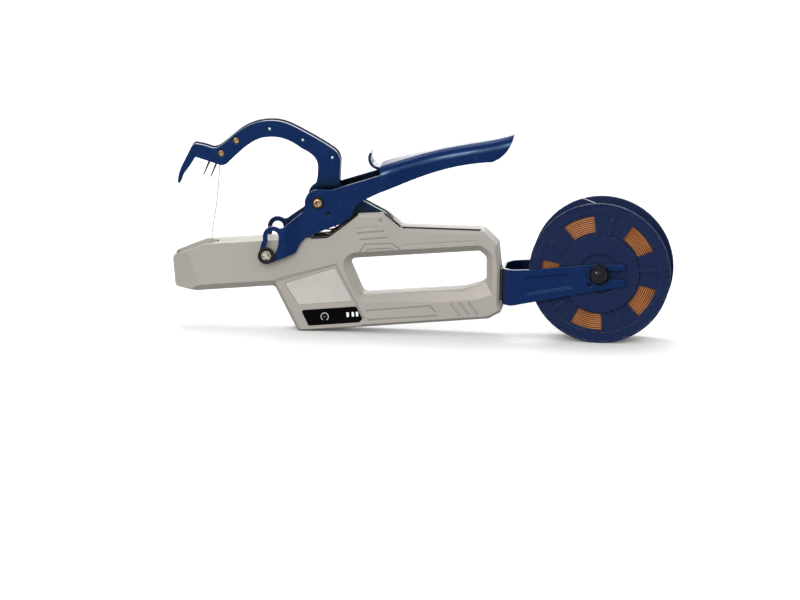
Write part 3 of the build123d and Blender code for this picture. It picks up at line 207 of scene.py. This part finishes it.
# colour drift, edge colour for wear and for painted highlight and shade, painted shade in hollows and
# inside given boxes, patchy gloss and fine grain on Object coordinates
def makeFinish(name, look, shared):
    finish = bpy.data.materials.new(name)
    finish.use_nodes = True
    tree = finish.node_tree
    shader = tree.nodes["Principled BSDF"]
    for socket, amount in look.get("fixed", {}).items():
        shader.inputs[socket].default_value = amount
    coords = tree.nodes.new("ShaderNodeTexCoord")
    spread = tree.nodes.new("ShaderNodeMapping")
    spread.inputs["Scale"].default_value = look.get("stretch", (1.0, 1.0, 1.0))
    tree.links.new(coords.outputs["Object"], spread.inputs["Vector"])

    def noise(scale, detail):
        node = tree.nodes.new("ShaderNodeTexNoise")
        node.inputs["Scale"].default_value = scale
        node.inputs["Detail"].default_value = detail
        tree.links.new(spread.outputs["Vector"], node.inputs["Vector"])
        return node.outputs["Fac"]

    def remap(value, old, new):
        node = tree.nodes.new("ShaderNodeMapRange")
        for socket, amount in zip(("From Min", "From Max", "To Min", "To Max"), old + new):
            node.inputs[socket].default_value = amount
        tree.links.new(value, node.inputs["Value"])
        return node.outputs["Result"]

    def blendColour(factor, first, second):
        node = tree.nodes.new("ShaderNodeMix")
        node.data_type = "RGBA"
        tree.links.new(factor, node.inputs["Factor"])
        for socket, colour in ((node.inputs[6], first), (node.inputs[7], second)):
            if isinstance(colour, tuple):
                socket.default_value = colour + (1.0,)
            else:
                tree.links.new(colour, socket)
        return node.outputs[2]

    def both(first, second):
        node = tree.nodes.new("ShaderNodeMath")
        node.operation = "MULTIPLY"
        node.use_clamp = True
        tree.links.new(first, node.inputs[0])
        tree.links.new(second, node.inputs[1])
        return node.outputs[0]

    softEdge = tree.nodes.new("ShaderNodeBevel")
    softEdge.samples = shared["edgeSamples"]
    softEdge.inputs["Radius"].default_value = look["edge"]
    scale = look["driftScale"]
    drift = remap(noise(scale, shared["driftDetail"]), shared["driftRange"], (0.0, 1.0))
    colour = blendColour(drift, look["colour"], look["colourFar"])
    gloss = noise(scale * shared["glossScale"], shared["glossDetail"])
    rough = remap(gloss, shared["driftRange"], look["rough"])
    # edge colour along bevels: real wear on some finishes, and on others a painted highlight (lighter) or
    # painted shade (darker)
    if "edgeWearAndShading" in look:
        geometry = tree.nodes.new("ShaderNodeNewGeometry")
        facing = tree.nodes.new("ShaderNodeVectorMath")
        facing.operation = "DOT_PRODUCT"
        tree.links.new(softEdge.outputs["Normal"], facing.inputs[0])
        tree.links.new(geometry.outputs["Normal"], facing.inputs[1])
        ridge = remap(facing.outputs["Value"], shared["bendRange"], (0.0, look["edgeWearAndShadingAmount"]))
        spots = noise(scale * shared["patchScale"], shared["patchDetail"])
        patch = remap(spots, shared["patchRange"], (0.0, 1.0))
        colour = blendColour(both(ridge, patch), colour, look["edgeWearAndShading"])
    # painted shade: colour darkened where the ambient-occlusion node finds nearby surfaces, in corners,
    # creases, gaps and recesses
    if "hollow" in look:
        closeness = tree.nodes.new("ShaderNodeAmbientOcclusion")
        closeness.samples = shared["hollowSamples"]
        closeness.inputs["Distance"].default_value = look["hollow"]
        counts = look.get("hollowRange", shared["hollowRange"])
        openness = remap(closeness.outputs["AO"], counts, (0.0, 1.0))
        colour = blendColour(openness, look["hollowShadeColour"], colour)
    # painted shade: near-black colour inside boxes given in Object coordinates, where shadow falls
    for shadeBox in look.get("paintedShadeBoxes", []):
        split = tree.nodes.new("ShaderNodeSeparateXYZ")
        tree.links.new(coords.outputs["Object"], split.inputs["Vector"])
        inside = None
        for place, low, high in zip(split.outputs, shadeBox["low"], shadeBox["high"]):
            above = remap(place, (low - shadeBox["soft"], low), (0.0, 1.0))
            below = remap(place, (high, high + shadeBox["soft"]), (1.0, 0.0))
            between = both(above, below)
            inside = between if inside is None else both(inside, between)
        colour = blendColour(inside, colour, shadeBox["colour"])
    bump = tree.nodes.new("ShaderNodeBump")
    bump.inputs["Strength"].default_value = look["grain"]
    bump.inputs["Distance"].default_value = look["grainDepth"]
    tree.links.new(noise(look["grainScale"], shared["grainDetail"]), bump.inputs["Height"])
    tree.links.new(softEdge.outputs["Normal"], bump.inputs["Normal"])
    tree.links.new(colour, shader.inputs["Base Color"])
    tree.links.new(rough, shader.inputs["Roughness"])
    tree.links.new(bump.outputs["Normal"], shader.inputs["Normal"])
    return finish


finishLooks = {
    # hollows darkened as painted shade; two near-black boxes paint the shade in the top channel of the
    # handle bar and across the shell top under the lever pivot
    "shellGrey": {
        "colour": (0.415, 0.39, 0.355), "colourFar": (0.39, 0.365, 0.335), "driftScale": 22.0,
        "rough": (0.42, 0.54), "edge": 0.0006, "edgeWearAndShading": (0.56, 0.54, 0.51), "edgeWearAndShadingAmount": 0.35,
        "hollow": 0.004, "hollowShadeColour": (0.1, 0.09, 0.08),
        "paintedShadeBoxes": [
            {
                "low": (-0.0345, -0.01155, 0.085), "high": (0.0525, -0.00345, 0.2), "soft": 0.00005,
                "colour": (0.012, 0.011, 0.01),
            },
            {
                "low": (-0.112, -0.0132, 0.078), "high": (-0.058, 0.0132, 0.2), "soft": 0.00005,
                "colour": (0.014, 0.012, 0.011),
            },
        ],
        "grain": 0.22, "grainScale": 1500.0, "grainDepth": 0.0001, "fixed": {"Specular IOR Level": 0.25},
    },
    # edges lighter partly as wear and partly as painted highlight; hollows up to 40 mm deep darkened
    # nearly black as painted shade inside the lever, hook and bracket
    "bluePaint": {
        "colour": (0.0008, 0.0122, 0.083), "colourFar": (0.0006, 0.0102, 0.073), "driftScale": 30.0,
        "rough": (0.2, 0.3), "edge": 0.0008, "edgeWearAndShading": (0.2, 0.25, 0.38), "edgeWearAndShadingAmount": 0.55,
        "hollow": 0.04, "hollowRange": (0.5, 0.9), "hollowShadeColour": (0.0002, 0.0006, 0.003),
        "grain": 0.12, "grainScale": 420.0, "grainDepth": 0.0002,
        "fixed": {"Specular IOR Level": 0.2, "Specular Tint": (0.38, 0.7, 1.0, 1.0)},
    },
    # relief edges lighter as painted highlight, with some wear; hollows darkened as painted shade
    "reelNavy": {
        "colour": (0.0125, 0.0215, 0.071), "colourFar": (0.0105, 0.0185, 0.063), "driftScale": 26.0,
        "rough": (0.5, 0.62), "edge": 0.001, "edgeWearAndShading": (0.12, 0.14, 0.22), "edgeWearAndShadingAmount": 0.8,
        "hollow": 0.003, "hollowShadeColour": (0.001, 0.002, 0.012),
        "grain": 0.16, "grainScale": 900.0, "grainDepth": 0.0001,
        "fixed": {"Specular IOR Level": 0.06, "Specular Tint": (0.4, 0.65, 1.0, 1.0)},
    },
    # hollows between the turns darkened as painted shade
    "coatedWire": {
        "colour": (0.42, 0.135, 0.036), "colourFar": (0.56, 0.23, 0.085), "driftScale": 60.0,
        "rough": (0.36, 0.56), "edge": 0.0001, "hollow": 0.0016, "hollowRange": (0.4, 0.85),
        "hollowShadeColour": (0.03, 0.008, 0.002),
        "grain": 0.3, "grainScale": 1600.0, "grainDepth": 0.0001, "fixed": {"Specular IOR Level": 0.15},
    },
    "strandWire": {
        "colour": (0.5, 0.48, 0.44), "colourFar": (0.58, 0.56, 0.52), "driftScale": 160.0,
        "rough": (0.4, 0.6), "edge": 0.0001, "grain": 0.4, "grainScale": 1600.0, "grainDepth": 0.0002,
        "fixed": {"Specular IOR Level": 0.35},
    },
    "steelBright": {
        "colour": (0.5, 0.5, 0.5), "colourFar": (0.42, 0.42, 0.42), "driftScale": 120.0,
        "rough": (0.24, 0.4), "edge": 0.0003, "edgeWearAndShading": (0.7, 0.7, 0.7), "edgeWearAndShadingAmount": 0.4,
        "grain": 0.2, "grainScale": 1200.0, "grainDepth": 0.0001, "stretch": (1.0, 1.0, 6.0),
        "fixed": {"Metallic": 1.0},
    },
    # edges darkened nearly black as painted shade, leaving a light centre on each rivet head
    "rivetGrey": {
        "colour": (0.3, 0.34, 0.43), "colourFar": (0.22, 0.26, 0.34), "driftScale": 240.0,
        "rough": (0.3, 0.45), "edge": 0.001, "edgeWearAndShading": (0.02, 0.03, 0.06), "edgeWearAndShadingAmount": 1.0,
        "grain": 0.2, "grainScale": 1200.0, "grainDepth": 0.0001, "fixed": {"Metallic": 1.0},
    },
    # strong light and near-black noise patches stand in for the highlight on the pin ends; edges and
    # hollows darkened as painted shade
    "steelDull": {
        "colour": (0.36, 0.35, 0.3), "colourFar": (0.05, 0.048, 0.042), "driftScale": 420.0,
        "rough": (0.26, 0.42), "edge": 0.0006, "edgeWearAndShading": (0.06, 0.057, 0.05), "edgeWearAndShadingAmount": 0.8,
        "hollow": 0.002, "hollowShadeColour": (0.03, 0.028, 0.025),
        "grain": 0.2, "grainScale": 1200.0, "grainDepth": 0.0001, "fixed": {"Metallic": 1.0},
    },
    "steelBlack": {
        "colour": (0.004, 0.004, 0.0045), "colourFar": (0.007, 0.007, 0.0075), "driftScale": 90.0,
        "rough": (0.28, 0.42), "edge": 0.0004, "edgeWearAndShading": (0.08, 0.08, 0.09), "edgeWearAndShadingAmount": 0.4,
        "grain": 0.2, "grainScale": 900.0, "grainDepth": 0.0001, "fixed": {"Specular IOR Level": 0.1},
    },
    "nutBlack": {
        "colour": (0.002, 0.003, 0.009), "colourFar": (0.003, 0.004, 0.012), "driftScale": 90.0,
        "rough": (0.11, 0.19), "edge": 0.0006, "edgeWearAndShading": (0.1, 0.1, 0.12), "edgeWearAndShadingAmount": 0.3,
        "grain": 0.08, "grainScale": 600.0, "grainDepth": 0.0001, "fixed": {"Specular IOR Level": 0.18},
    },
    "springBrown": {
        "colour": (0.13, 0.07, 0.04), "colourFar": (0.24, 0.14, 0.09), "driftScale": 110.0,
        "rough": (0.24, 0.42), "edge": 0.0002, "grain": 0.25, "grainScale": 1400.0, "grainDepth": 0.0001,
        "fixed": {"Metallic": 0.85},
    },
    # edges darkened nearly black as painted shade, a dark rim round each bolt head; hollows darkened as
    # painted shade
    "brass": {
        "colour": (0.11, 0.075, 0.045), "colourFar": (0.28, 0.2, 0.125), "driftScale": 300.0,
        "rough": (0.24, 0.4), "edge": 0.0018, "edgeWearAndShading": (0.012, 0.008, 0.005), "edgeWearAndShadingAmount": 1.0,
        "hollow": 0.0022, "hollowShadeColour": (0.02, 0.012, 0.006),
        "grain": 0.2, "grainScale": 1100.0, "grainDepth": 0.0001, "fixed": {"Metallic": 1.0},
    },
    "panelBlack": {
        "colour": (0.0015, 0.0012, 0.0013), "colourFar": (0.0025, 0.002, 0.0022), "driftScale": 60.0,
        "rough": (0.16, 0.26), "edge": 0.0003, "edgeWearAndShading": (0.02, 0.02, 0.022), "edgeWearAndShadingAmount": 0.3,
        "grain": 0.04, "grainScale": 500.0, "grainDepth": 0.0001, "fixed": {"Specular IOR Level": 0.02},
    },
    "plasticBlack": {
        "colour": (0.01, 0.01, 0.011), "colourFar": (0.015, 0.015, 0.016), "driftScale": 60.0,
        "rough": (0.42, 0.56), "edge": 0.0003, "edgeWearAndShading": (0.06, 0.06, 0.06), "edgeWearAndShadingAmount": 0.3,
        "grain": 0.2, "grainScale": 1200.0, "grainDepth": 0.0001, "fixed": {"Specular IOR Level": 0.25},
    },
    "lightWhite": {
        "colour": (0.86, 0.87, 0.88), "colourFar": (0.8, 0.81, 0.83), "driftScale": 200.0,
        "rough": (0.2, 0.32), "edge": 0.0002, "grain": 0.1, "grainScale": 900.0, "grainDepth": 0.0001,
        "fixed": {"Emission Color": (1.0, 1.0, 1.0, 1.0), "Emission Strength": 0.25},
    },
    "labelFilm": {
        "colour": (0.58, 0.56, 0.525), "colourFar": (0.53, 0.51, 0.48), "driftScale": 40.0,
        "rough": (0.3, 0.42), "edge": 0.0002, "edgeWearAndShading": (0.5, 0.48, 0.45), "edgeWearAndShadingAmount": 0.4,
        "grain": 0.06, "grainScale": 700.0, "grainDepth": 0.0001, "fixed": {"Specular IOR Level": 0.3},
    },
    "boardGreen": {
        "colour": (0.02, 0.14, 0.05), "colourFar": (0.03, 0.18, 0.07), "driftScale": 90.0,
        "rough": (0.3, 0.45), "edge": 0.0002, "grain": 0.15, "grainScale": 900.0, "grainDepth": 0.0001,
    },
    "cellWrap": {
        "colour": (0.04, 0.17, 0.33), "colourFar": (0.05, 0.2, 0.38), "driftScale": 60.0,
        "rough": (0.3, 0.42), "edge": 0.0003, "grain": 0.1, "grainScale": 500.0, "grainDepth": 0.0001,
    },
    "leadRed": {
        "colour": (0.35, 0.02, 0.015), "colourFar": (0.42, 0.03, 0.02), "driftScale": 90.0,
        "rough": (0.4, 0.52), "edge": 0.0002, "grain": 0.15, "grainScale": 900.0, "grainDepth": 0.0001,
    },
    "iconWhite": {
        "colour": (0.66, 0.67, 0.68), "colourFar": (0.58, 0.59, 0.6), "driftScale": 200.0,
        "rough": (0.35, 0.5), "edge": 0.0001, "grain": 0.1, "grainScale": 900.0, "grainDepth": 0.0001,
    },
    "iconRed": {
        "colour": (0.09, 0.008, 0.006), "colourFar": (0.06, 0.006, 0.005), "driftScale": 200.0,
        "rough": (0.25, 0.4), "edge": 0.0001, "grain": 0.1, "grainScale": 900.0, "grainDepth": 0.0001,
    },
}
finishes = {name: makeFinish(name, look, finishSettings) for name, look in finishLooks.items()}

nodeFinishes = {
    "shellGrey": ["left_shell", "right_shell"],
    "bluePaint": ["hook_front_plate", "hook_rear_plate", "lever", "reel_bracket"],
    "reelNavy": ["reel_front_flange", "reel_rear_flange", "reel_core"],
    "coatedWire": ["feed_wire", "wound_core", "wire_winding"],
    "strandWire": ["tie_wire"],
    "brass": ["hook_bolts", "hook_bush", "shaft_bush", "spindle_bushes", "lever_bolt", "battery_contacts"],
    "steelBright": [
        "lever_nut", "twister_spindle", "twister_gear", "drive_pinion", "drive_shaft",
        "gearbox", "drive_motor", "cutter_blade", "wire_guide_tube", "shell_screws", "hook_pivot_pin",
    ],
    "rivetGrey": ["hook_rivets"],
    "steelDull": ["guide_clips", "guide_pin"],
    "steelBlack": [
        "hook_spacers", "tine_block", "wire_tines", "guide_washers", "lever_washers",
        "axle_washers", "lever_sleeves", "guide_sleeves", "bracket_screws",
    ],
    "nutBlack": ["axle_nuts", "reel_axle"],
    "springBrown": ["return_spring"],
    "panelBlack": ["control_panel", "power_button"],
    "plasticBlack": ["charge_socket", "bracket_pad", "wire_grommet", "reel_bushes"],
    "lightWhite": ["status_lights"],
    "labelFilm": ["label_plate"],
    "boardGreen": ["circuit_board"],
    "cellWrap": ["battery_cells"],
    "leadRed": ["motor_leads"],
}
for finishName, names in nodeFinishes.items():
    for nodeName in names:
        mesh = nodes[nodeName].data
        mesh.materials.clear()
        mesh.materials.append(finishes[finishName])
print("finishes on", sum(len(names) for names in nodeFinishes.values()), "nodes")


def keepPiece(shape, name, finish, body, weldGap=0.000005):
    bmesh.ops.remove_doubles(shape, verts=shape.verts, dist=weldGap)
    bmesh.ops.recalc_face_normals(shape, faces=shape.faces)
    mesh = asMesh(shape, name)
    mesh.materials.append(finishes[finish])
    for face in mesh.polygons:
        face.use_smooth = True
    piece = bpy.data.objects.new(name, mesh)
    scene.collection.objects.link(piece)
    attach(piece, body)
    return piece


def middle(nodeName):
    low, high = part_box(nodeName)
    return (low + high) / 2


# wound tying wire on the reel: an outer layer in one run, and the ends of the layers under it
woundWire = {
    "wire": 0.0015,
    "outerTurns": 18,
    "stepsPerTurn": 72,
    "sides": 8,
    "layerPitch": 0.0018,
    "innerRadius": 0.0345,
    "wander": 0.0003,
    "seed": 7,
    "packedInner": 0.0301,
    "packedGap": 0.0003,
    "packedInset": 0.8,
}


# a ring of wire, or a coil where it rises along the axis
def spinWire(stand, centre, axis, rise, turns, settings):
    coil = bmesh.new()
    bmesh.ops.create_circle(
        coil, cap_ends=False, segments=settings["sides"], radius=settings["wire"] / 2, matrix=stand)
    steps = settings["stepsPerTurn"]
    bmesh.ops.spin(
        coil, geom=coil.verts[:] + coil.edges[:], cent=centre, axis=axis,
        dvec=Vector(axis) * rise / steps, angle=2 * math.pi * turns, steps=steps * turns,
        use_merge=rise == 0)
    return coil


def wireLoop(centre, radius, y, rise, settings):
    stand = Matrix.Translation(centre + Vector((radius, y, 0.0)))
    return asMesh(spinWire(stand, centre, (0, 1, 0), rise, 1, settings), "wireLoop")


def windReel(settings):
    random.seed(settings["seed"])
    low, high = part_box("wire_winding")
    centre = middle("reel_axle")
    half = (high.y - low.y) / 2
    outer = (high.x - low.x) / 2 - settings["wire"] / 2
    first = half - settings["wire"] / 2
    shape = bmesh.new()
    pitch = 2 * first / settings["outerTurns"]
    turnMesh = wireLoop(centre, outer, -first, pitch, settings)
    for turn in range(settings["outerTurns"]):
        shape.from_mesh(turnMesh)
        turnMesh.transform(Matrix.Translation((0.0, pitch, 0.0)))
    radius = outer - settings["layerPitch"]
    while radius > settings["innerRadius"]:
        for side in (-1, 1):
            y = side * (first - random.random() * settings["wander"])
            away = radius + (random.random() - 0.5) * settings["wander"]
            shape.from_mesh(wireLoop(centre, away, y, 0, settings))
        radius -= settings["layerPitch"]
    inside = half - settings["wire"] * settings["packedInset"]
    reach = outer - settings["packedGap"]
    core = settings["packedInner"]
    corners = [(reach, -inside), (reach, inside), (core, inside), (core, -inside)]
    packed = bmesh.new()
    verts = [packed.verts.new(centre + Vector((away, y, 0.0))) for away, y in corners]
    edges = [packed.edges.new(ends) for ends in zip(verts, verts[1:] + verts[:1])]
    bmesh.ops.spin(
        packed, geom=verts + edges, cent=centre, axis=(0, 1, 0), angle=2 * math.pi,
        steps=settings["stepsPerTurn"], use_merge=True)
    shape.from_mesh(asMesh(packed, "packedWire"))
    piece = keepPiece(shape, "woundWire", "coatedWire", "reel")
    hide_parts("wire_winding", "wound_core")


windReel(woundWire)
print("reel wound")

# compression spring under the lever
springSettings = {"wire": 0.0014, "turns": 6, "stepsPerTurn": 48, "sides": 12, "keep": 0.31}


def coilSpring(settings):
    low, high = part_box("return_spring")
    centre = middle("return_spring")
    radius = (high.x - low.x) / 2 - settings["wire"] / 2
    pitch = (high.z - low.z - settings["wire"]) / settings["turns"]
    start = Vector((centre.x + radius, centre.y, low.z + settings["wire"] / 2))
    stand = Matrix.Translation(start) @ Matrix.Rotation(math.radians(90), 4, "X")
    foot = (centre.x, centre.y, start.z)
    shape = spinWire(stand, foot, (0, 0, 1), pitch, settings["turns"], settings)
    ends = [edge for edge in shape.edges if edge.is_boundary]
    bmesh.ops.holes_fill(shape, edges=ends, sides=0)
    piece = keepPiece(shape, "coilSpring", "springBrown", "body")
    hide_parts("return_spring")
    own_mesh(piece)


coilSpring(springSettings)
print("spring coiled")

# the length of wire held between the twister and the hook
strandSettings = {
    "route": [
        (-0.1875, 0.0, 0.0741), (-0.1919, 0.0, 0.0798), (-0.1892, 0.0, 0.097),
        (-0.1862, 0.0, 0.1195), (-0.1848, 0.0, 0.149),
    ],
    "radius": 0.0005,
    "roundness": 3,
    "steps": 12,
    "keep": 0.24,
}


def hangStrand(settings):
    line = bpy.data.curves.new("tieStrandLine", "CURVE")
    line.dimensions = "3D"
    line.bevel_depth = settings["radius"]
    line.bevel_resolution = settings["roundness"]
    line.use_fill_caps = True
    spline = line.splines.new("NURBS")
    spline.points.add(len(settings["route"]) - 1)
    for point, place in zip(spline.points, settings["route"]):
        point.co = place + (1.0,)
    spline.order_u = 3
    spline.use_endpoint_u = True
    spline.resolution_u = settings["steps"]
    holder = bpy.data.objects.new("tieStrandLine", line)
    scene.collection.objects.link(holder)
    bpy.context.view_layer.update()
    drawn = holder.evaluated_get(bpy.context.evaluated_depsgraph_get())
    mesh = bpy.data.meshes.new_from_object(drawn)
    bpy.data.objects.remove(holder)
    shape = bmesh.new()
    shape.from_mesh(mesh)
    piece = keepPiece(shape, "tieStrand", "strandWire", "body")
    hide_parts("tie_wire")
    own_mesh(piece)


hangStrand(strandSettings)
print("strand hung")

# power mark on the button: an open ring and a red dot
markSettings = {
    "ring": (0.0030, 0.0037),
    "opening": 56.0,
    "openingAt": 270.0,
    "ringSteps": 48,
    "dot": 0.0011,
    "dotSides": 32,
    "proud": 0.00006,
}


def markButton(settings):
    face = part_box("power_button")[0].y
    centre = middle("power_button")
    spot = Vector((centre.x, face - settings["proud"], centre.z))
    sunk = Vector((0.0, 2 * settings["proud"], 0.0))
    near, far = settings["ring"]
    start = math.radians(settings["openingAt"] + settings["opening"] / 2)
    way = Vector((math.cos(start), 0.0, math.sin(start)))
    corners = [spot + way * near, spot + way * far]
    corners += [corners[1] + sunk, corners[0] + sunk]
    shape = bmesh.new()
    end = shape.faces.new([shape.verts.new(corner) for corner in corners])
    bmesh.ops.spin(
        shape, geom=[end], cent=spot, axis=(0, -1, 0), angle=math.radians(360 - settings["opening"]),
        steps=settings["ringSteps"], use_merge=False)
    keepPiece(shape, "powerRing", "iconWhite", "button")
    shape = bmesh.new()
    upright = Matrix.Rotation(math.radians(90), 4, "X")
    bmesh.ops.create_cone(
        shape, cap_ends=True, segments=settings["dotSides"], radius1=settings["dot"],
        radius2=settings["dot"], depth=sunk.y, matrix=Matrix.Translation(spot + sunk / 2) @ upright)
    keepPiece(shape, "powerDot", "iconRed", "button")


markButton(markSettings)
print("button marked")
